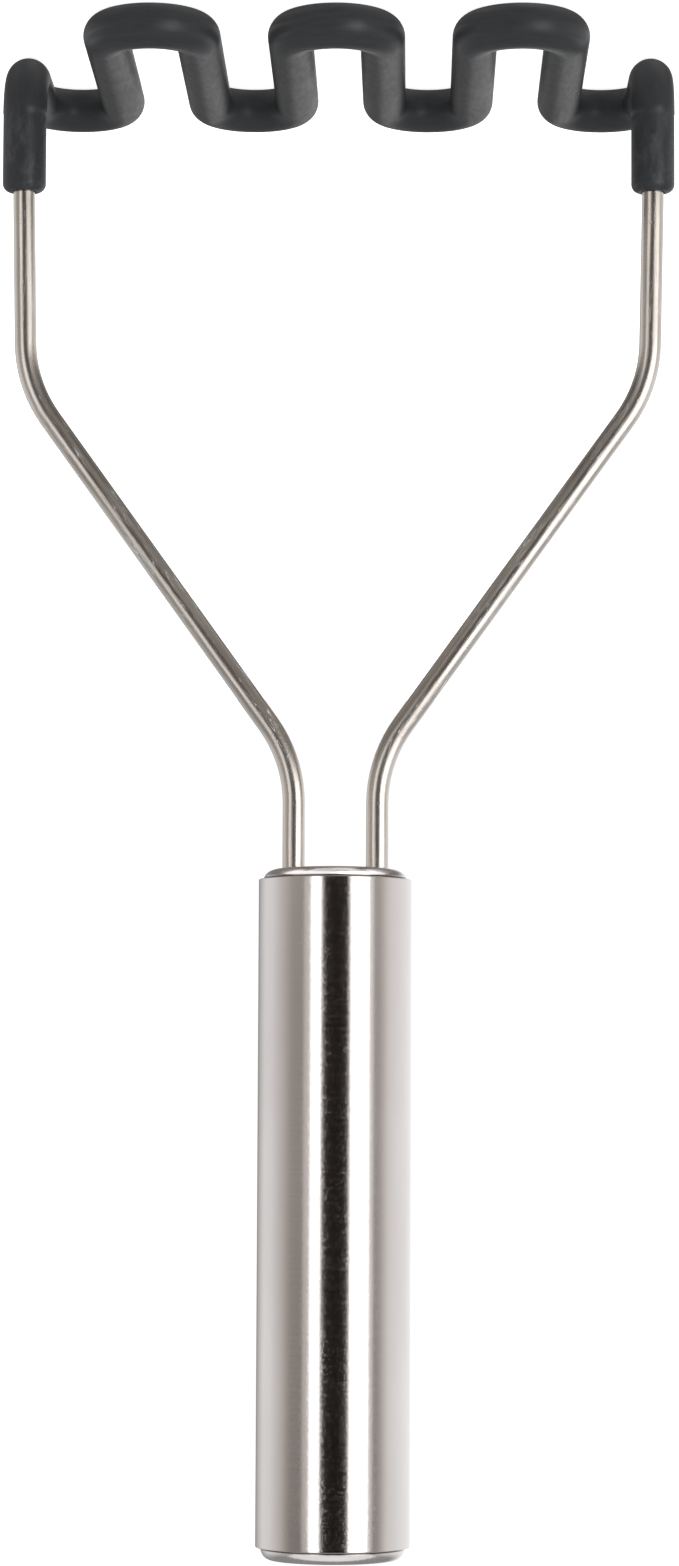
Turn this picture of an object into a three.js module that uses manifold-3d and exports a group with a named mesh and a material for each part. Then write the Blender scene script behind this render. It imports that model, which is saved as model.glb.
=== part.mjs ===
// Wire potato masher, standing on its mashing face: a serpentine head of coated bar,
// two bent wire arms and a tube handle with a cap in each mouth.
// Millimetres, +Z up. Origin: centre of the mashing face, on the handle's axis.

import * as THREE from 'three';
import { mergeVertices } from 'three/addons/utils/BufferGeometryUtils.js';
import Module from 'manifold-3d';

const wasm = await Module();
wasm.setup();

// ---- driving dimensions ----
const FIT_GAP = 0.3;            // clearance between pieces that touch on the real object

const WIRE_DIAMETER = 4;
const COATING_DIAMETER = 8;

const LEG_COUNT = 6;            // bars that cross the head from front to back
const LEG_PITCH = 16.32;
const HEAD_DEPTH = 73.3;        // front to back, over the coating
const ELBOW_RADIUS = 9;         // where the end bars turn up into the sleeves
const SLEEVE_TOP = 26.6;        // end of the coating on the arms

const ARM_LEAN_Z = 28;          // above this an arm leans in, up to its upper corner
const ARM_BEND_X = 56.45;
const ARM_BEND_Z = 62;
const TAIL_X = 7.5;             // the two wire tails run parallel to the handle's axis
const TAIL_BEND_Z = 130.1;
const ARM_BEND_RADIUS = 24.5;
const TAIL_DEPTH = 16;          // tail length inside the handle
const CORE_SPLIT_Z = 16;        // hidden joint between the head's core and the arms

const HANDLE_DIAMETER = 27.4;
const HANDLE_WALL = 0.7;
const HANDLE_START_Z = 151.7;
const HANDLE_END_Z = 270.2;
const TUBE_EDGE_RADIUS = 0.3;

const CAP_WALL = 1;
const CAP_SKIRT = 8;            // length of a cap's skirt inside the tube
const FRONT_CAP_DIAMETER = 25.6;
const FRONT_CAP_PROUD = 1.9;
const FRONT_CAP_ROUNDING = 3;    // how far a cap's domed rim reaches in over its face
const END_CAP_DIAMETER = 25.6;
const END_CAP_PROUD = 2.2;
const END_CAP_ROUNDING = 1.9;

const WELD_WIDTH = 1;

// ---- mesh fineness ----
const COATING_SIDES = 16;
const WIRE_SIDES = 12;
const TURNED_SIDES = 48;
const BEND_STEP = Math.PI / 8;  // angle between two rings of a bent bar

// ---- materials ----
const coatingMaterial = new THREE.MeshStandardMaterial({ color: 0x2e3032, roughness: 0.55, metalness: 0 });
const wireMaterial = new THREE.MeshStandardMaterial({ color: 0xc9c6c0, roughness: 0.18, metalness: 1 });
const tubeMaterial = new THREE.MeshStandardMaterial({ color: 0xc4c0bc, roughness: 0.32, metalness: 1 });
const capMaterial = new THREE.MeshStandardMaterial({ color: 0xcbc8c3, roughness: 0.26, metalness: 1 });
const weldMaterial = new THREE.MeshStandardMaterial({ color: 0x8d8a86, roughness: 0.5, metalness: 1 });

// ---- helpers ----

// A bar's centreline: straight runs joined by a round bend at each inner corner.
// One ring of the bar falls on each station, and none inside a straight run.
class BentPath extends THREE.Curve {
  constructor(corners, radii) {
    super();
    this.points = [];
    this.tangents = [];
    this.addStation(corners[0], corners[1].clone().sub(corners[0]));
    for (let i = 1; i < corners.length - 1; i += 1) {
      this.addBend(corners[i - 1], corners[i], corners[i + 1], radii[i - 1]);
    }
    const last = corners.at(-1);
    this.addStation(last, last.clone().sub(corners.at(-2)));
  }

  addStation(point, direction) {
    const previous = this.points.at(-1);
    if (previous && previous.distanceTo(point) < 1e-6) return;
    this.points.push(point.clone());
    this.tangents.push(direction.clone().normalize());
  }

  addBend(before, corner, after, radius) {
    const incoming = corner.clone().sub(before).normalize();
    const outgoing = after.clone().sub(corner).normalize();
    const turn = incoming.angleTo(outgoing);
    const start = corner.clone().addScaledVector(incoming, -radius * Math.tan(turn / 2));
    const inward = outgoing.clone().addScaledVector(incoming, -Math.cos(turn)).normalize();
    const steps = Math.ceil(turn / BEND_STEP - 1e-6);
    for (let k = 0; k <= steps; k += 1) {
      const angle = turn * k / steps;
      const point = start.clone()
        .addScaledVector(incoming, radius * Math.sin(angle))
        .addScaledVector(inward, radius * (1 - Math.cos(angle)));
      const direction = incoming.clone().multiplyScalar(Math.cos(angle))
        .addScaledVector(inward, Math.sin(angle));
      this.addStation(point, direction);
    }
  }

  get steps() {
    return this.points.length - 1;
  }

  getUtoTmapping(u) {
    return u;
  }

  getPoint(t, target = new THREE.Vector3()) {
    const place = t * this.steps;
    const index = Math.min(Math.floor(place + 1e-9), this.steps - 1);
    return target.lerpVectors(this.points[index], this.points[index + 1], place - index);
  }

  getTangent(t, target = new THREE.Vector3()) {
    return target.copy(this.tangents[Math.round(t * this.steps)]);
  }
}

// Corner points of a round section drawn as a regular polygon with a flat on each axis.
function sectionPoints(diameter, sides) {
  const cornerRadius = diameter / 2 / Math.cos(Math.PI / sides);
  const points = [];
  for (let i = 0; i < sides; i += 1) {
    const angle = (i + 0.5) * 2 * Math.PI / sides;
    points.push(new THREE.Vector2(cornerRadius * Math.cos(angle), cornerRadius * Math.sin(angle)));
  }
  return points;
}

function barAlong(path, section) {
  return new THREE.ExtrudeGeometry(section, {
    steps: path.steps,
    bevelEnabled: false,
    extrudePath: path,
  });
}

// A turned profile: [radius, height] pairs revolved about +Z, closed on itself.
function turned(profile) {
  const points = profile.map(([radius, height]) => new THREE.Vector2(radius, height));
  points.push(points[0].clone());
  return new THREE.LatheGeometry(points, TURNED_SIDES).rotateX(Math.PI / 2);
}

// Points of a quarter ellipse about [radius, height], from one angle to another.
function cornerArc(radius, height, reach, rise, fromAngle, toAngle) {
  const steps = 5;
  const points = [];
  for (let k = 0; k <= steps; k += 1) {
    const angle = fromAngle + (toAngle - fromAngle) * k / steps;
    points.push([radius + reach * Math.cos(angle), height + rise * Math.sin(angle)]);
  }
  return points;
}

function toManifold(geometry) {
  const plain = geometry.clone();
  plain.deleteAttribute('normal');
  plain.deleteAttribute('uv');
  const merged = mergeVertices(plain, 1e-4);
  return new wasm.Manifold(new wasm.Mesh({
    numProp: 3,
    vertProperties: new Float32Array(merged.attributes.position.array),
    triVerts: new Uint32Array(merged.index.array),
  }));
}

function fromManifold(solid) {
  const mesh = solid.getMesh();
  const geometry = new THREE.BufferGeometry();
  geometry.setAttribute('position', new THREE.BufferAttribute(mesh.vertProperties, 3));
  geometry.setIndex(new THREE.BufferAttribute(mesh.triVerts, 1));
  geometry.computeVertexNormals();
  return geometry;
}

function piece(name, geometry, material) {
  const mesh = new THREE.Mesh(geometry, material);
  mesh.name = name;
  return mesh;
}

// ---- the bent wire's corners ----
const BAR_Z = COATING_DIAMETER / 2;
const BEND_Y = HEAD_DEPTH / 2 - COATING_DIAMETER / 2;
const END_BAR_X = (LEG_COUNT + 1) / 2 * LEG_PITCH;
const LEG_BEND_RADIUS = LEG_PITCH / 2;

// The head's centreline from one arm, through the serpentine, to the other arm.
function headPath(endZ) {
  const corners = [new THREE.Vector3(-END_BAR_X, 0, endZ), new THREE.Vector3(-END_BAR_X, 0, BAR_Z)];
  const radii = [ELBOW_RADIUS];
  for (let i = 0; i <= LEG_COUNT + 1; i += 1) {
    const x = -END_BAR_X + i * LEG_PITCH;
    const enters = i % 2 === 0 ? -BEND_Y : BEND_Y;
    if (i > 0) corners.push(new THREE.Vector3(x, enters, BAR_Z));
    if (i <= LEG_COUNT) corners.push(new THREE.Vector3(x, -enters, BAR_Z));
  }
  while (radii.length < corners.length - 1) radii.push(LEG_BEND_RADIUS);
  corners.push(new THREE.Vector3(END_BAR_X, 0, BAR_Z), new THREE.Vector3(END_BAR_X, 0, endZ));
  radii.push(ELBOW_RADIUS);
  return new BentPath(corners, radii);
}

function armPath(side) {
  const corners = [
    new THREE.Vector3(side * END_BAR_X, 0, CORE_SPLIT_Z + FIT_GAP),
    new THREE.Vector3(side * END_BAR_X, 0, ARM_LEAN_Z),
    new THREE.Vector3(side * ARM_BEND_X, 0, ARM_BEND_Z),
    new THREE.Vector3(side * TAIL_X, 0, TAIL_BEND_Z),
    new THREE.Vector3(side * TAIL_X, 0, HANDLE_START_Z + TAIL_DEPTH),
  ];
  return new BentPath(corners, [ARM_BEND_RADIUS, ARM_BEND_RADIUS, ARM_BEND_RADIUS]);
}

// ---- sub-parts ----
function headCoating() {
  const section = new THREE.Shape(sectionPoints(COATING_DIAMETER, COATING_SIDES));
  const bore = sectionPoints(WIRE_DIAMETER + 2 * FIT_GAP, WIRE_SIDES);
  section.holes.push(new THREE.Path(bore));
  return piece('head_coating', barAlong(headPath(SLEEVE_TOP), section), coatingMaterial);
}

function headCore() {
  const section = new THREE.Shape(sectionPoints(WIRE_DIAMETER, WIRE_SIDES));
  return piece('head_core', barAlong(headPath(CORE_SPLIT_Z), section), wireMaterial);
}

function arm(name, side) {
  const section = new THREE.Shape(sectionPoints(WIRE_DIAMETER, WIRE_SIDES));
  return piece(name, barAlong(armPath(side), section), wireMaterial);
}

function handleTube() {
  const outer = HANDLE_DIAMETER / 2;
  const inner = outer - HANDLE_WALL;
  const edge = TUBE_EDGE_RADIUS;
  const profile = [
    [inner, HANDLE_START_Z],
    ...cornerArc(outer - edge, HANDLE_START_Z + edge, edge, edge, -Math.PI / 2, 0),
    ...cornerArc(outer - edge, HANDLE_END_Z - edge, edge, edge, 0, Math.PI / 2),
    [inner, HANDLE_END_Z],
  ];
  return piece('handle_tube', turned(profile), tubeMaterial);
}

// A pressed cap: its domed rim starts at seamZ, the tube's end, and its skirt runs into the tube.
// facing is +1 when the face looks up and -1 when it looks down.
function capGeometry(diameter, rounding, seamZ, proud, facing) {
  const outer = diameter / 2;
  const inner = outer - CAP_WALL;
  const centre = outer - rounding;
  const quarter = facing * Math.PI / 2;
  const skirtZ = seamZ - facing * CAP_SKIRT;
  const profile = [
    [outer, skirtZ],
    ...cornerArc(centre, seamZ, rounding, proud, 0, quarter),
    [0, seamZ + facing * proud],
    [0, seamZ + facing * (proud - CAP_WALL)],
    ...cornerArc(centre, seamZ, rounding - CAP_WALL, proud - CAP_WALL, quarter, 0),
    [inner, skirtZ],
  ];
  return turned(facing < 0 ? profile.reverse() : profile);
}

function frontCap() {
  const shell = capGeometry(FRONT_CAP_DIAMETER, FRONT_CAP_ROUNDING, HANDLE_START_Z, FRONT_CAP_PROUD, -1);
  let solid = toManifold(shell);
  for (const side of [-1, 1]) {
    const hole = new THREE.ExtrudeGeometry(
      new THREE.Shape(sectionPoints(WIRE_DIAMETER + 2 * FIT_GAP, WIRE_SIDES)),
      { depth: CAP_SKIRT, bevelEnabled: false },
    ).translate(side * TAIL_X, 0, HANDLE_START_Z - CAP_SKIRT / 2);
    solid = solid.subtract(toManifold(hole));
  }
  return piece('front_cap', fromManifold(solid), capMaterial);
}

function endCap() {
  const shell = capGeometry(END_CAP_DIAMETER, END_CAP_ROUNDING, HANDLE_END_Z, END_CAP_PROUD, 1);
  return piece('end_cap', shell, capMaterial);
}

// A bead of weld round a wire tail, on the inside of the front cap.
function weld(name, side) {
  const inner = WIRE_DIAMETER / 2 + FIT_GAP;
  const footZ = HANDLE_START_Z - FRONT_CAP_PROUD + CAP_WALL + FIT_GAP;
  const bead = cornerArc(inner, footZ, WELD_WIDTH, WELD_WIDTH, 0, Math.PI / 2);
  const mesh = piece(name, turned([[inner, footZ], ...bead]), weldMaterial);
  mesh.position.set(side * TAIL_X, 0, 0);
  return mesh;
}

// ---- assembly ----
const masher = new THREE.Group();
masher.name = 'potato_masher';
masher.add(
  headCoating(),
  headCore(),
  arm('left_arm', -1),
  arm('right_arm', 1),
  handleTube(),
  frontCap(),
  endCap(),
  weld('left_weld', -1),
  weld('right_weld', 1),
);

export default masher;
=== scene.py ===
"""Looks of the wire potato masher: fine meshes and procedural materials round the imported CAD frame.

Metres, +Z up, the masher stands on its mashing face. Places come from the frame; the few bend
positions that no node's box gives are named below, as they are in the part's own source.
"""

import math
from collections import namedtuple

import bmesh
import bpy
from mathutils import Matrix, Vector


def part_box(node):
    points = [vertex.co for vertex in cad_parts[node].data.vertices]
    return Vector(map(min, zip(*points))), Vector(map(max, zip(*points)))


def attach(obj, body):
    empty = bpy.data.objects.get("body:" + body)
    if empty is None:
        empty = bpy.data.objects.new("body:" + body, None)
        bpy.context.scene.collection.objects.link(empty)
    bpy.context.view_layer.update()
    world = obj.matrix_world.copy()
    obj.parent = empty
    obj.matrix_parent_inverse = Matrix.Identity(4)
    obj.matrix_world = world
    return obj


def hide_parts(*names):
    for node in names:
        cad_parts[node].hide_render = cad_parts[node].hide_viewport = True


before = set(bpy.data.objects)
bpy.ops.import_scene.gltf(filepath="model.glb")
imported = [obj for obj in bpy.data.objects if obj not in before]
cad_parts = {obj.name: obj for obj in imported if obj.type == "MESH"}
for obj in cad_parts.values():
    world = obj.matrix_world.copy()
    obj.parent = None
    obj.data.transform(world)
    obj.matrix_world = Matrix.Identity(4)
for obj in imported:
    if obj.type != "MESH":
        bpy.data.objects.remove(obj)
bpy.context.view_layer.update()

MM = 0.001

# ---- places read from the frame ----
COATING_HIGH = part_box("head_coating")[1]
TUBE_LOW, TUBE_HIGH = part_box("handle_tube")
FRONT_CAP_LOW, FRONT_CAP_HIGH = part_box("front_cap")
END_CAP_LOW, END_CAP_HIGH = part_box("end_cap")
ARM_LOW, ARM_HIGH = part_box("left_arm")

# ---- dimensions shared with the part's source ----
LEG_COUNT = 6
LEG_PITCH = 16.32 * MM
COATING_RADIUS = 4 * MM
WIRE_RADIUS = 2 * MM
ELBOW_RADIUS = 9 * MM
ARM_LEAN_Z = 28 * MM
ARM_BEND_X = 56.45 * MM
ARM_BEND_Z = 62 * MM
TAIL_X = 7.5 * MM
TAIL_BEND_Z = 130.1 * MM
ARM_BEND_RADIUS = 24.5 * MM
CORE_SPLIT_Z = 16 * MM
CAP_WALL = 1 * MM
FRONT_CAP_ROUNDING = 3 * MM
END_CAP_ROUNDING = 1.9 * MM
TUBE_WALL = 0.7 * MM

# ---- places worked out from these ----
BAR_Z = COATING_RADIUS
BEND_Y = COATING_HIGH.y - COATING_RADIUS
END_BAR_X = (LEG_COUNT + 1) / 2 * LEG_PITCH
SLEEVE_TOP = COATING_HIGH.z
TUBE_RADIUS = TUBE_HIGH.x

# ---- mesh detail ----
RUN_STEP = 2.5 * MM         # longest stretch of a straight run between two rings
COATING_BEND_STEP = math.radians(5)
WIRE_BEND_STEP = math.radians(4)
COATING_SIDES = 48
WIRE_SIDES = 40
WELD_SIDES = 64
TURNED_SIDES = 128
SHARP_ANGLE = math.radians(35)

# ---- tolerances, in metres and radians ----
SAME_POINT = 1e-7
SAME_DIRECTION = 1e-4
AT_AN_END = 1e-6

# The coating is a little thinner on the sleeves, which leaves a parting step just above each elbow.
SLEEVE_LENGTH = SLEEVE_TOP - BAR_Z - ELBOW_RADIUS + ELBOW_RADIUS * COATING_BEND_STEP
SLEEVE_FOOT = SLEEVE_TOP - SLEEVE_LENGTH
SLEEVE_STEP = 0.06 * MM

# ---- camera ----
IMAGE_HEIGHT = 1566
SENSOR = 36
FOCAL_PIXELS = 4508.2
CAMERA_PLACE = Vector((-13.7, -807.8, 199.6)) * MM
CAMERA_YAW = -0.0161
CAMERA_PITCH = -0.0807
CAMERA_ROLL = math.pi + 0.0043


# ---------------------------------------------------------------- camera, light and stage
def make_camera():
    """The masher is seen with its head at the top, so the camera is rolled by half a turn."""
    data = bpy.data.cameras.new("camera")
    data.sensor_width = SENSOR
    data.lens = SENSOR * FOCAL_PIXELS / IMAGE_HEIGHT
    data.clip_start = 0.05
    data.clip_end = 50
    camera = bpy.data.objects.new("camera", data)
    bpy.context.collection.objects.link(camera)
    forward = Vector((
        -math.sin(CAMERA_YAW) * math.cos(CAMERA_PITCH),
        math.cos(CAMERA_YAW) * math.cos(CAMERA_PITCH),
        math.sin(CAMERA_PITCH),
    ))
    camera.rotation_mode = "QUATERNION"
    camera.location = CAMERA_PLACE
    upright = forward.to_track_quat("-Z", "Y").to_matrix()
    turned = upright @ Matrix.Rotation(CAMERA_ROLL, 3, "Z")
    camera.rotation_quaternion = turned.to_quaternion()
    bpy.context.scene.camera = camera


class NodeGraph:
    """Short names for building a node tree."""

    def __init__(self, tree):
        self.tree = tree
        tree.nodes.clear()

    def add(self, kind, inputs=None, **settings):
        node = self.tree.nodes.new(kind)
        for name, value in settings.items():
            setattr(node, name, value)
        for name, value in (inputs or {}).items():
            socket = node.inputs[name]
            if isinstance(value, bpy.types.NodeSocket):
                self.tree.links.new(value, socket)
            else:
                socket.default_value = value
        return node

    def math(self, operation, a, b=0.0, clamp=False):
        node = self.add("ShaderNodeMath", {0: a, 1: b}, operation=operation)
        node.use_clamp = clamp
        return node.outputs[0]

    def ramp(self, factor, stops):
        node = self.add("ShaderNodeValToRGB", {"Fac": factor})
        ramp = node.color_ramp
        ramp.interpolation = "LINEAR"
        while len(ramp.elements) < len(stops):
            ramp.elements.new(0.5)
        for element, (position, colour) in zip(ramp.elements, stops):
            element.position = position
            element.color = (*colour, 1)
        return node.outputs["Color"]


def smooth_step(g, value, start, end):
    """0 at start and 1 at end, with a smooth rise between them."""
    limits = {"Value": value, "From Min": start, "From Max": end}
    return g.add("ShaderNodeMapRange", limits, interpolation_type="SMOOTHSTEP").outputs[0]


def mix_colour(g, factor, a, b):
    mixed = g.add("ShaderNodeMix", {"Factor": factor, "A": a, "B": b}, data_type="RGBA")
    return mixed.outputs["Result"]


def grey(value, warmth=0.0):
    """A grey, with red raised and blue lowered by the share that warmth gives."""
    return (value * (1 + warmth), value, value * (1 - warmth))


# Brightness of the studio round the object: azimuth in degrees from the camera's side towards -X.
STUDIO_BANDS = [
    (-180, grey(0.95)),
    (-173, grey(0.22)),
    (-156, grey(0.42)),
    (-128, grey(0.80)),
    (-108, grey(0.76)),
    (-90, grey(0.58, 0.03)),
    (-66, grey(0.34, 0.09)),
    (-40, grey(0.28, 0.10)),
    (-24, grey(0.22, 0.10)),
    (-13, grey(0.010, 0.3)),
    (20, grey(0.010, 0.3)),
    (27, grey(0.24, 0.10)),
    (60, grey(0.32, 0.09)),
    (72, grey(0.38, 0.08)),
    (92, grey(0.72, 0.03)),
    (115, grey(0.84)),
    (150, grey(0.95)),
    (180, grey(1.0)),
]
CEILING = grey(0.28)
GROUND = grey(0.20, 0.08)
DEEP_GROUND = grey(0.20, 0.02)
DEEP_GROUND_SHARE = 0.5     # the rest of the deep ground shows the bands
AMBIENT = grey(1.0)
BACKDROP_STRENGTH = 1.05

# Where one part of the studio fades into the next: heights of a direction of length 1.
CEILING_FADE = (0.25, 0.60)
GROUND_FADE = (-0.20, -0.45)
DEEP_GROUND_FADE = (-0.55, -0.85)

# The bands in front of the object are darker above the horizon.
FRONT_SHADE = 0.33
FRONT_SHADE_FADE = (-0.06, 0.10)
FRONT_SIDE_FADE = (math.radians(88), math.radians(62))


def make_world():
    """White where the camera sees it. In reflections it is banded round the object, dimmer above
    and below, with a dark gap round the camera. Matte surfaces are lit evenly from all round."""
    world = bpy.data.worlds.new("studio")
    bpy.context.scene.world = world
    world.use_nodes = True
    world.cycles.sampling_method = "NONE"
    g = NodeGraph(world.node_tree)
    direction = g.add("ShaderNodeTexCoord").outputs["Generated"]
    x, y, z = g.add("ShaderNodeSeparateXYZ", {"Vector": direction}).outputs
    azimuth = g.math("ARCTAN2", g.math("MULTIPLY", x, -1.0), g.math("MULTIPLY", y, -1.0))
    turn = g.math("ADD", g.math("DIVIDE", azimuth, 2 * math.pi), 0.5)
    bands = g.ramp(turn, [((degrees + 180) / 360, colour) for degrees, colour in STUDIO_BANDS])
    front = smooth_step(g, g.math("ABSOLUTE", azimuth), *FRONT_SIDE_FADE)
    above = smooth_step(g, z, *FRONT_SHADE_FADE)
    shade = g.math("MULTIPLY", g.math("MULTIPLY", front, above), FRONT_SHADE)
    bands = mix_colour(g, shade, bands, (0, 0, 0, 1))
    with_ceiling = mix_colour(g, smooth_step(g, z, *CEILING_FADE), bands, (*CEILING, 1))
    with_ground = mix_colour(g, smooth_step(g, z, *GROUND_FADE), with_ceiling, (*GROUND, 1))
    deep_ground = mix_colour(g, DEEP_GROUND_SHARE, bands, (*DEEP_GROUND, 1))
    studio = mix_colour(g, smooth_step(g, z, *DEEP_GROUND_FADE), with_ground, deep_ground)
    path = g.add("ShaderNodeLightPath")
    reflected = g.add("ShaderNodeBackground", {"Color": studio, "Strength": 1.0})
    ambient = g.add("ShaderNodeBackground", {"Color": (*AMBIENT, 1), "Strength": 1.0})
    backdrop = g.add("ShaderNodeBackground", {"Color": (1, 1, 1, 1), "Strength": BACKDROP_STRENGTH})
    lit = g.add("ShaderNodeMixShader", {
        0: path.outputs["Is Diffuse Ray"],
        1: reflected.outputs[0],
        2: ambient.outputs[0],
    })
    mixed = g.add("ShaderNodeMixShader", {
        0: path.outputs["Is Camera Ray"],
        1: lit.outputs[0],
        2: backdrop.outputs[0],
    })
    g.add("ShaderNodeOutputWorld", {"Surface": mixed.outputs[0]})


FLOOR_HALF = 1.2


def make_floor():
    """A plain white table top under the mashing face."""
    mesh = bpy.data.meshes.new("floor")
    corners = [(x * FLOOR_HALF, y * FLOOR_HALF, 0) for x, y in ((-1, -1), (1, -1), (1, 1), (-1, 1))]
    mesh.from_pydata(corners, [], [(0, 1, 2, 3)])
    floor = bpy.data.objects.new("floor", mesh)
    bpy.context.collection.objects.link(floor)
    material = bpy.data.materials.new("floor_white")
    material.use_nodes = True
    g = NodeGraph(material.node_tree)
    surface = g.add("ShaderNodeBsdfPrincipled", {
        "Base Color": (0.85, 0.85, 0.85, 1),
        "Roughness": 0.8,
        "Emission Color": (1, 1, 1, 1),
        "Emission Strength": 0.9,
    })
    g.add("ShaderNodeOutputMaterial", {"Surface": surface.outputs[0]})
    mesh.materials.append(material)
    floor.visible_glossy = False
    floor.visible_diffuse = False


SOFTBOX_DISTANCE = 2


def make_softbox(name, left, right, brightness, receivers, height=1.6, elevation=0):
    """A rectangle of light between two azimuths, in degrees from the camera's side towards -X,
    facing the handle's front end from the given elevation. It lights only the receivers."""
    middle = math.radians((left + right) / 2)
    lift = math.radians(elevation)
    width = 2 * SOFTBOX_DISTANCE * math.tan(math.radians(right - left) / 2)
    data = bpy.data.lights.new(name, "AREA")
    data.shape = "RECTANGLE"
    data.size = width
    data.size_y = height
    data.energy = brightness * math.pi * width * height
    light = bpy.data.objects.new(name, data)
    level = Vector((-math.sin(middle), -math.cos(middle), 0)) * math.cos(lift)
    offset = (level + Vector((0, 0, math.sin(lift)))) * SOFTBOX_DISTANCE
    light.location = offset + Vector((0, 0, TUBE_LOW.z))
    light.rotation_mode = "QUATERNION"
    light.rotation_quaternion = (-offset).to_track_quat("-Z", "Y")
    bpy.context.collection.objects.link(light)
    lit = bpy.data.collections.new(name + "_lights")
    for piece in receivers:
        lit.objects.link(piece)
    light.light_linking.receiver_collection = lit


# ---------------------------------------------------------------- materials
def new_material(name):
    material = bpy.data.materials.new(name)
    material.use_nodes = True
    return material, NodeGraph(material.node_tree)


def noise(g, vector, scale, detail=4.0, roughness=0.6, stretch=(1, 1, 1)):
    """Noise of the given scale per metre. A stretch below 1 draws it out along that axis."""
    placed = g.add("ShaderNodeMapping", {"Vector": vector, "Scale": stretch}).outputs[0]
    return g.add("ShaderNodeTexNoise", {
        "Vector": placed,
        "Scale": scale,
        "Detail": detail,
        "Roughness": roughness,
    }).outputs["Fac"]


def spread(g, value, low, high, from_low=0.3, from_high=0.7):
    """The value's range from from_low to from_high, spread over low to high and clamped there."""
    return g.add("ShaderNodeMapRange", {
        "Value": value,
        "From Min": from_low,
        "From Max": from_high,
        "To Min": low,
        "To Max": high,
    }).outputs[0]


def blend_colours(g, factor, a, b):
    return mix_colour(g, factor, (*a, 1), (*b, 1))


def bar_place(g):
    """Position on a bar as if it were straight: two coordinates across it and one along it."""
    return g.add("ShaderNodeAttribute", attribute_name="bar_place").outputs["Vector"]


def coating_material():
    """Charcoal moulded coating: matte and finely pitted, with rubbed streaks on the near bends,
    scuffed patches on the sleeves and a duller finish on the far bends."""
    material, g = new_material("coating_charcoal")
    place = bar_place(g)
    upright = g.add("ShaderNodeTexCoord").outputs["Object"]
    _, y, z = g.add("ShaderNodeSeparateXYZ", {"Vector": upright}).outputs
    bend_fade = 6 * MM
    near_bends = smooth_step(g, y, bend_fade - BEND_Y, -BEND_Y)
    far_bends = smooth_step(g, y, BEND_Y - bend_fade, BEND_Y)
    sleeves = smooth_step(g, z, SLEEVE_FOOT - 0.6 * MM, SLEEVE_FOOT + 0.4 * MM)

    mottle = noise(g, place, 1100, detail=5, stretch=(1, 1, 0.3))
    cloud = noise(g, place, 45, detail=3)
    streak_noise = noise(g, place, 900, detail=4, stretch=(1, 1, 0.1))
    streaks = g.math("MULTIPLY", spread(g, streak_noise, 0, 1, 0.48, 0.64), near_bends)
    patch_noise = noise(g, upright, 420, detail=6, roughness=0.75, stretch=(1, 1, 0.5))
    patches = g.math("MULTIPLY", spread(g, patch_noise, 0, 1, 0.49, 0.66), sleeves)

    base = blend_colours(
        g, spread(g, mottle, 0, 1), (0.0235, 0.0250, 0.0280), (0.0290, 0.0305, 0.0335))
    patch_wear = g.math("MULTIPLY", patches, 0.35)
    streak_wear = g.math("MULTIPLY", streaks, 0.06)
    wear = g.math("ADD", patch_wear, streak_wear, clamp=True)
    colour = mix_colour(g, wear, base, (0.085, 0.087, 0.090, 1))

    grain = g.math("ADD", spread(g, cloud, 0.40, 0.45), spread(g, mottle, -0.05, 0.05))
    dulled = g.math("ADD", grain, g.math("MULTIPLY", far_bends, 0.10))
    rough = g.math("SUBTRACT", dulled, g.math("MULTIPLY", streaks, 0.17))

    pits = noise(g, place, 3000, detail=3, roughness=0.7, stretch=(1, 1, 0.4))
    ripples = g.math("MULTIPLY", noise(g, place, 260, detail=2), 3.0)
    height = g.math("ADD", g.math("ADD", pits, ripples), g.math("MULTIPLY", streaks, 0.3))
    bump = g.add("ShaderNodeBump", {"Height": height, "Strength": 0.5, "Distance": 0.03 * MM})
    surface = g.add("ShaderNodeBsdfPrincipled", {
        "Base Color": colour,
        "Roughness": rough,
        "IOR": 1.38,
        "Normal": bump.outputs[0],
    })
    g.add("ShaderNodeOutputMaterial", {"Surface": surface.outputs[0]})
    return material


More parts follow.
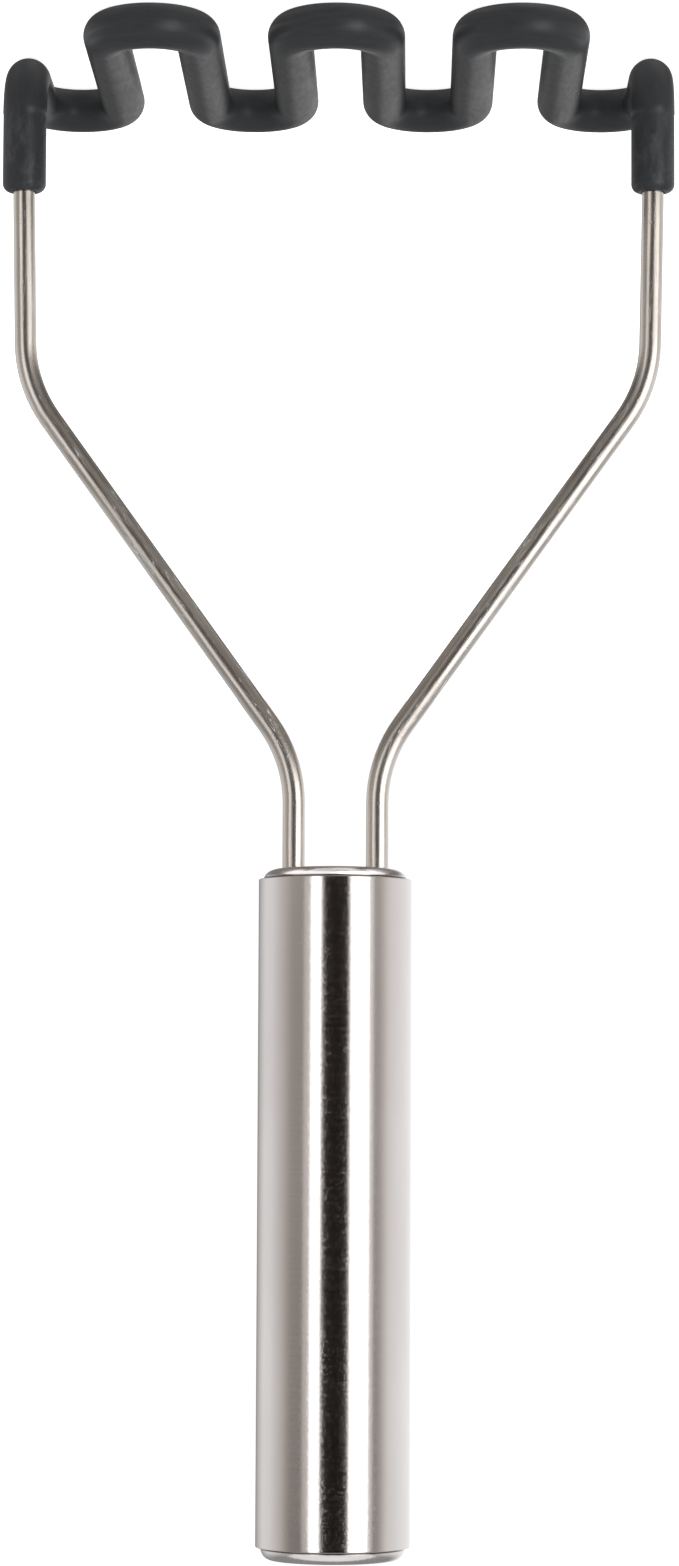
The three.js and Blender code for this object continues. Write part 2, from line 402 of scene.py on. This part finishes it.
def wire_material():
    """Drawn stainless wire, dulled: draw lines along it, short slanting scratches, uneven polish
    and small dings."""
    material, g = new_material("wire_bright")
    place = bar_place(g)
    draw_lines = noise(g, place, 2600, detail=3, stretch=(1, 1, 0.02))
    uneven = noise(g, place, 260, detail=4, stretch=(1, 1, 0.25))
    bands = noise(g, place, 700, detail=3, stretch=(1, 1, 0.06))
    slant = g.add("ShaderNodeMapping", {
        "Vector": place,
        "Rotation": (0.9, 0.5, 0),
        "Scale": (1, 1, 0.12),
    }).outputs[0]
    scratch_noise = g.add("ShaderNodeTexNoise", {
        "Vector": slant,
        "Scale": 1100,
        "Detail": 2,
        "Roughness": 0.5,
    }).outputs["Fac"]
    off_contour = g.math("ABSOLUTE", g.math("SUBTRACT", scratch_noise, 0.5))
    sparse = spread(g, uneven, 0, 1, 0.5, 0.65)
    scratches = g.math("MULTIPLY", smooth_step(g, off_contour, 0.018, 0.0), sparse)
    dings = spread(g, noise(g, place, 1300, detail=2), 0, 1, 0.66, 0.74)
    rough = g.math("ADD", spread(g, draw_lines, 0.22, 0.32), spread(g, uneven, -0.03, 0.07))
    colour = blend_colours(g, spread(g, bands, 0, 1), (0.62, 0.565, 0.51), (0.82, 0.785, 0.745))
    marks = g.math("SUBTRACT", g.math("MULTIPLY", draw_lines, 0.8), g.math("ADD", scratches, dings))
    height = g.math("ADD", marks, g.math("MULTIPLY", bands, 2.5))
    bump = g.add("ShaderNodeBump", {"Height": height, "Strength": 0.7, "Distance": 0.02 * MM})
    surface = g.add("ShaderNodeBsdfPrincipled", {
        "Base Color": mix_colour(g, scratches, colour, (0.85, 0.83, 0.80, 1)),
        "Metallic": g.math("SUBTRACT", 1.0, g.math("MULTIPLY", scratches, 0.7)),
        "Roughness": rough,
        "Normal": bump.outputs[0],
    })
    g.add("ShaderNodeOutputMaterial", {"Surface": surface.outputs[0]})
    return material


def steel_material(name, low_rough, high_rough, grain_stretch, seams):
    """Satin stainless steel with a grain and fine specks, and painted shade in its seams.
    seams lists the heights of the joint lines between the tube and its caps."""
    material, g = new_material(name)
    place = g.add("ShaderNodeTexCoord").outputs["Object"]
    x, y, z = g.add("ShaderNodeSeparateXYZ", {"Vector": place}).outputs
    grain = noise(g, place, 2400, detail=4, stretch=grain_stretch)
    speckle = spread(g, noise(g, place, 2600, detail=2, roughness=0.8), 0, 1, 0.52, 0.72)
    cloud = noise(g, place, 60, detail=3, stretch=(1, 1, 0.4))
    rough = g.math("ADD", spread(g, grain, low_rough, high_rough), g.math("MULTIPLY", speckle, 0.12))
    colour = blend_colours(g, spread(g, cloud, 0, 1), (0.775, 0.730, 0.718), (0.83, 0.800, 0.788))
    radius_squared = g.math("ADD", g.math("MULTIPLY", x, x), g.math("MULTIPLY", y, y))
    radius = g.math("SQRT", radius_squared)
    below_surface = smooth_step(g, radius, TUBE_RADIUS - 0.10 * MM, TUBE_RADIUS - 0.40 * MM)
    # Painted shade: each joint line between the tube and a cap is darkened where it lies below the
    # tube's surface.
    for seam in seams:
        distance = g.math("ABSOLUTE", g.math("SUBTRACT", z, seam))
        near_seam = smooth_step(g, distance, 0.42 * MM, 0.18 * MM)
        painted_seam_shade = g.math("MULTIPLY", g.math("MULTIPLY", near_seam, below_surface), 0.93)
        colour = mix_colour(g, painted_seam_shade, colour, (0.03, 0.027, 0.025, 1))
    height = g.math("ADD", g.math("MULTIPLY", grain, 0.5), g.math("MULTIPLY", speckle, 0.20))
    bump = g.add("ShaderNodeBump", {"Height": height, "Strength": 0.9, "Distance": 0.02 * MM})
    surface = g.add("ShaderNodeBsdfPrincipled", {
        "Base Color": colour,
        "Metallic": 1.0,
        "Roughness": rough,
        "Normal": bump.outputs[0],
    })
    g.add("ShaderNodeOutputMaterial", {"Surface": surface.outputs[0]})
    return material


def weld_material():
    """Dull weld metal, heat-tinted in patches."""
    material, g = new_material("weld_dull")
    place = g.add("ShaderNodeTexCoord").outputs["Object"]
    tint = noise(g, place, 900, detail=4)
    colour = blend_colours(g, spread(g, tint, 0, 1), (0.22, 0.17, 0.13), (0.45, 0.42, 0.38))
    bump = g.add("ShaderNodeBump", {"Height": tint, "Strength": 0.6, "Distance": 0.08 * MM})
    surface = g.add("ShaderNodeBsdfPrincipled", {
        "Base Color": colour,
        "Metallic": 1.0,
        "Roughness": spread(g, tint, 0.4, 0.6),
        "Normal": bump.outputs[0],
    })
    g.add("ShaderNodeOutputMaterial", {"Surface": surface.outputs[0]})
    return material


# ---------------------------------------------------------------- profiles
def arc_points(radius, z, reach, rise, from_angle, to_angle, steps=8):
    """Points on an arc of an ellipse about (radius, z), with half-axes reach and rise."""
    points = []
    for k in range(steps + 1):
        angle = from_angle + (to_angle - from_angle) * k / steps
        points.append((radius + reach * math.cos(angle), z + rise * math.sin(angle)))
    return points


def towards(profile, sign):
    """A bar's end profile of (radius, shift) pairs, turned round for its far end when sign is -1."""
    ordered = profile if sign > 0 else profile[::-1]
    return [(radius, sign * shift) for radius, shift in ordered]


# ---------------------------------------------------------------- bent bars
def bend_stations(corners, radii, bend_step):
    """Points along straight runs joined by round bends, with the direction at each."""
    stations = []

    def put(point, direction):
        if stations and (stations[-1][0] - point).length < SAME_POINT:
            return
        if stations:
            start, heading = stations[-1]
            gap = (point - start).length
            straight = heading.angle(direction, 0) < SAME_DIRECTION
            pieces = math.ceil(gap / RUN_STEP) if straight else 1
            for k in range(1, pieces):
                stations.append((start.lerp(point, k / pieces), direction.copy()))
        stations.append((point.copy(), direction.copy()))

    put(corners[0], (corners[1] - corners[0]).normalized())
    for before, corner, after, radius in zip(corners, corners[1:], corners[2:], radii):
        incoming = (corner - before).normalized()
        outgoing = (after - corner).normalized()
        turn = incoming.angle(outgoing)
        start = corner - incoming * radius * math.tan(turn / 2)
        inward = (outgoing - incoming * math.cos(turn)).normalized()
        steps = max(2, math.ceil(turn / bend_step))
        for k in range(steps + 1):
            angle = turn * k / steps
            along = incoming * radius * math.sin(angle)
            aside = inward * radius * (1 - math.cos(angle))
            put(start + along + aside, incoming * math.cos(angle) + inward * math.sin(angle))
    put(corners[-1], (corners[-1] - corners[-2]).normalized())
    return stations


Station = namedtuple("Station", "point direction across length")


def sweep(stations, section, sides, bore=0.0, mouth_depth=0.0):
    """A closed bar along the stations. section(length, total) lists (radius, shift along the bar)
    for one station, and a whole end profile for the first and the last. With a bore, the end
    profiles run into it and it joins them from mouth_depth within each end."""
    total = sum((b[0] - a[0]).length for a, b in zip(stations, stations[1:]))
    bm = bmesh.new()
    place = bm.verts.layers.float_vector.new("bar_place")
    across = stations[0][1].orthogonal().normalized()
    length = 0.0
    placed = []
    for point, direction in stations:
        if placed:
            previous = placed[-1]
            length += (point - previous.point).length
            across = previous.direction.rotation_difference(direction) @ across
        across = (across - direction * across.dot(direction)).normalized()
        placed.append(Station(point, direction, across, length))

    def add_ring(at, radius, shift):
        other = at.direction.cross(at.across)
        ring = []
        for i in range(sides):
            angle = 2 * math.pi * i / sides
            offset = at.across * math.cos(angle) + other * math.sin(angle)
            vert = bm.verts.new(at.point + at.direction * shift + offset * radius)
            vert[place] = (radius * math.cos(angle), radius * math.sin(angle), at.length + shift)
            ring.append(vert)
        return ring

    rings = []
    for at in placed:
        for radius, shift in section(at.length, total):
            rings.append(add_ring(at, radius, shift))
    if bore:
        for at in reversed(placed):
            if mouth_depth < at.length < total - mouth_depth:
                rings.append(add_ring(at, bore, 0.0))
        rings.append(rings[0])
    for a, b in zip(rings, rings[1:]):
        for i in range(sides):
            j = (i + 1) % sides
            bm.faces.new((a[i], a[j], b[j], b[i]))
    if not bore:
        bm.faces.new(list(reversed(rings[0])))
        bm.faces.new(rings[-1])
    return bm


def finish_mesh(name, bm, material, node):
    """The piece that stands for a CAD node, from its finished mesh."""
    bmesh.ops.recalc_face_normals(bm, faces=bm.faces)
    mesh = bpy.data.meshes.new(name)
    bm.to_mesh(mesh)
    bm.free()
    mesh.materials.append(material)
    for polygon in mesh.polygons:
        polygon.use_smooth = True
    mesh.set_sharp_from_angle(angle=SHARP_ANGLE)
    piece = bpy.data.objects.new(name, mesh)
    bpy.context.collection.objects.link(piece)
    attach(piece, "root")
    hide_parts(node)
    return piece


def head_corners(end_z):
    """Corners and bend radii of the head's centreline, from one arm to the other."""
    corners = [Vector((-END_BAR_X, 0, end_z)), Vector((-END_BAR_X, 0, BAR_Z))]
    for i in range(LEG_COUNT + 2):
        x = -END_BAR_X + i * LEG_PITCH
        enters = -BEND_Y if i % 2 == 0 else BEND_Y
        if i > 0:
            corners.append(Vector((x, enters, BAR_Z)))
        if i <= LEG_COUNT:
            corners.append(Vector((x, -enters, BAR_Z)))
    corners += [Vector((END_BAR_X, 0, BAR_Z)), Vector((END_BAR_X, 0, end_z))]
    radii = [ELBOW_RADIUS] + [LEG_PITCH / 2] * (len(corners) - 4) + [ELBOW_RADIUS]
    return corners, radii


def make_coating(material):
    """The moulded coating, with rounded lips where the wires come out of its sleeves."""
    corners, radii = head_corners(SLEEVE_TOP)
    stations = bend_stations(corners, radii, COATING_BEND_STEP)
    sleeve_radius = COATING_RADIUS - SLEEVE_STEP
    bore = WIRE_RADIUS + 0.03 * MM
    mouth_depth = 6 * MM
    chamfer = 0.25 * MM
    lip = 1.5 * MM
    clear_of_lip = lip + 0.2 * MM
    half_step = 0.05 * MM
    mouth = [
        (bore, mouth_depth),
        (bore, chamfer),
        (bore + chamfer, 0.0),
        *arc_points(sleeve_radius - lip, lip, lip, lip, -math.pi / 2, 0),
    ]
    parting = [(sleeve_radius, -half_step), (COATING_RADIUS, half_step)]

    def section(length, total):
        for distance, sign in ((length, 1), (total - length, -1)):
            if distance < AT_AN_END:
                return towards(mouth, sign)
            if distance < clear_of_lip:
                return []
            if abs(distance - SLEEVE_LENGTH) < 2 * half_step:
                return towards(parting, sign)
            if distance < SLEEVE_LENGTH:
                return [(sleeve_radius, 0.0)]
        return [(COATING_RADIUS, 0.0)]

    bm = sweep(stations, section, COATING_SIDES, bore, mouth_depth)
    return finish_mesh("coating", bm, material, "head_coating")


def make_wire(name, corners, radii, material, node):
    """A round wire along the corners, with rounded ends."""
    stations = bend_stations(corners, radii, WIRE_BEND_STEP)
    edge = 0.4 * MM
    end = arc_points(WIRE_RADIUS - edge, edge, edge, edge, -math.pi / 2, 0, steps=4)

    def section(length, total):
        for distance, sign in ((length, 1), (total - length, -1)):
            if distance < AT_AN_END:
                return towards(end, sign)
        return [(WIRE_RADIUS, 0.0)]

    bm = sweep(stations, section, WIRE_SIDES)
    return finish_mesh(name, bm, material, node)


def make_arm(name, side, material):
    """One arm's wire, out of its sleeve and in to the handle. side is -1 for the left arm."""
    corners = [
        Vector((side * END_BAR_X, 0, ARM_LOW.z)),
        Vector((side * END_BAR_X, 0, ARM_LEAN_Z)),
        Vector((side * ARM_BEND_X, 0, ARM_BEND_Z)),
        Vector((side * TAIL_X, 0, TAIL_BEND_Z)),
        Vector((side * TAIL_X, 0, ARM_HIGH.z)),
    ]
    return make_wire(name + "_wire", corners, [ARM_BEND_RADIUS] * 3, material, name)


# ---------------------------------------------------------------- turned pieces
def turned(profile, sides=TURNED_SIDES):
    """A closed profile of (radius, z) pairs revolved about +Z. Points at radius 0 become poles."""
    bm = bmesh.new()
    rows = []
    for radius, z in profile:
        row = []
        for i in range(sides if radius > 0 else 1):
            angle = 2 * math.pi * i / sides
            row.append(bm.verts.new((radius * math.cos(angle), radius * math.sin(angle), z)))
        rows.append(row)
    for a, b in zip(rows, rows[1:] + rows[:1]):
        if len(a) == 1 and len(b) == 1:
            continue
        for i in range(sides):
            j = (i + 1) % sides
            if len(a) == 1:
                bm.faces.new((a[0], b[i], b[j]))
            elif len(b) == 1:
                bm.faces.new((a[i], a[j], b[0]))
            else:
                bm.faces.new((a[i], a[j], b[j], b[i]))
    return bm


def make_tube(material):
    """The handle's tube, rounded outside and chamfered inside at both mouths."""
    low, high = TUBE_LOW.z, TUBE_HIGH.z
    inner = TUBE_RADIUS - TUBE_WALL
    edge = 0.18 * MM
    chamfer = 0.15 * MM
    run = high - low - 2 * edge
    rows = 20
    profile = [
        (inner, low + chamfer),
        (inner + chamfer, low),
        *arc_points(TUBE_RADIUS - edge, low + edge, edge, edge, -math.pi / 2, 0),
        *[(TUBE_RADIUS, low + edge + run * k / rows) for k in range(1, rows)],
        *arc_points(TUBE_RADIUS - edge, high - edge, edge, edge, 0, math.pi / 2),
        (inner + chamfer, high),
        (inner, high - chamfer),
    ]
    return finish_mesh("tube", turned(profile), material, "handle_tube")


def cap_profile(low, high, facing, seam, rounding):
    """A pressed cup, as (radius, z) pairs: its domed rim starts at the seam and its skirt runs the
    other way. facing is 1 when the face looks up and -1 when it looks down."""
    outer = high.x
    face = high.z if facing > 0 else low.z
    skirt = low.z if facing > 0 else high.z
    proud = abs(face - seam)
    centre = outer - rounding
    quarter = facing * math.pi / 2
    return [
        (outer, skirt),
        *arc_points(centre, seam, rounding, proud, 0, quarter, 16),
        (centre / 2, face),
        (0, face),
        (0, face - facing * CAP_WALL),
        *arc_points(centre, seam, rounding - CAP_WALL, proud - CAP_WALL, quarter, 0, 8),
        (outer - CAP_WALL, skirt),
    ]


def make_end_cap(material):
    """The end cap is a turned cup without holes."""
    profile = cap_profile(END_CAP_LOW, END_CAP_HIGH, 1, TUBE_HIGH.z, END_CAP_ROUNDING)
    return finish_mesh("end_cap_shell", turned(profile), material, "end_cap")


def make_front_cap(material):
    """The front cap is a turned cup with a hole cut for each wire."""
    profile = cap_profile(FRONT_CAP_LOW, FRONT_CAP_HIGH, -1, TUBE_LOW.z, FRONT_CAP_ROUNDING)
    piece = finish_mesh("front_cap_shell", turned(profile), material, "front_cap")
    hole_radius = WIRE_RADIUS + 0.06 * MM
    hole_sides = 64
    drill_length = 8 * MM
    merge_distance = 0.002 * MM
    drill = bmesh.new()
    for side in (-1, 1):
        bmesh.ops.create_cone(
            drill, cap_ends=True, segments=hole_sides, radius1=hole_radius, radius2=hole_radius,
            depth=drill_length, matrix=Matrix.Translation((side * TAIL_X, 0, FRONT_CAP_LOW.z)))
    mesh = bpy.data.meshes.new("drill")
    drill.to_mesh(mesh)
    drill.free()
    cutter = bpy.data.objects.new("drill", mesh)
    bpy.context.collection.objects.link(cutter)
    cut = piece.modifiers.new("wire_holes", "BOOLEAN")
    cut.operation = "DIFFERENCE"
    cut.object = cutter
    cut.solver = "EXACT"
    bpy.context.view_layer.update()
    evaluated = piece.evaluated_get(bpy.context.evaluated_depsgraph_get())
    result = bpy.data.meshes.new_from_object(evaluated)
    piece.modifiers.clear()
    piece.data = result
    bm = bmesh.new()
    bm.from_mesh(result)
    bmesh.ops.remove_doubles(bm, verts=bm.verts, dist=merge_distance)
    bm.to_mesh(result)
    bm.free()
    bpy.data.objects.remove(cutter)
    return piece


def make_weld(name, material):
    """A rippled bead round one wire tail, set down on the inside of the front cap."""
    low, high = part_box(name)
    centre = (low.x + high.x) / 2
    inner = WIRE_RADIUS + 0.05 * MM
    width = (high.x - low.x) / 2 - inner
    foot = low.z - 0.25 * MM
    ripple_height = 0.06 * MM
    ripple_count = 9
    ripple_foot = foot + 0.1 * MM
    bead = arc_points(inner, foot, width, high.z - low.z, 0, math.pi / 2)
    bm = turned([(inner, foot), *bead], WELD_SIDES)
    for vert in bm.verts:
        if vert.co.z > ripple_foot:
            angle = math.atan2(vert.co.y, vert.co.x)
            reach = (math.hypot(vert.co.x, vert.co.y) - inner) / width
            vert.co.z += ripple_height * math.sin(ripple_count * angle) * reach
        vert.co.x += centre
    return finish_mesh(name + "_bead", bm, material, name)


# ---------------------------------------------------------------- assembly
make_camera()
make_world()
make_floor()

coating = coating_material()
wire = wire_material()
seams = [TUBE_LOW.z, TUBE_HIGH.z]
tube = steel_material("handle_satin", 0.11, 0.16, (0.05, 0.05, 1), seams)
cap = steel_material("cap_satin", 0.16, 0.22, (1, 1, 1), seams)
weld = weld_material()

coating_piece = make_coating(coating)
core_corners, core_radii = head_corners(CORE_SPLIT_Z)
make_wire("core_wire", core_corners, core_radii, wire, "head_core")
arms = [make_arm("left_arm", -1, wire), make_arm("right_arm", 1, wire)]
caps = [make_front_cap(cap), make_end_cap(cap)]
handle = [make_tube(tube)] + caps
make_weld("left_weld", weld)
make_weld("right_weld", weld)

# Each softbox: its name, left and right azimuths, brightness and the pieces that it lights.
make_softbox("handle_left_wide", -46, -18, 0.28, handle)
make_softbox("handle_left", -35, -19, 1.4, handle)
make_softbox("handle_right", 24, 54, 1.7, handle)
make_softbox("handle_right_soft", 53, 62, 0.35, handle)
make_softbox("coating_right", 22, 46, 5.0, [coating_piece])
make_softbox("arm_left", -50, -22, 0.95, arms)
make_softbox("arm_right", 25, 76, 1.9, arms, height=1.5, elevation=5)
make_softbox("arm_front", -15, 22, 0.05, arms)
make_softbox("cap_low", -60, 60, 0.95, caps, height=3.6, elevation=-72)
make_softbox("cap_low_right", 15, 60, 1.2, caps, elevation=-45)
make_softbox("cap_high", -60, 60, 0.6, caps, height=2.2, elevation=50)

bpy.context.scene.view_settings.view_transform = "Standard"
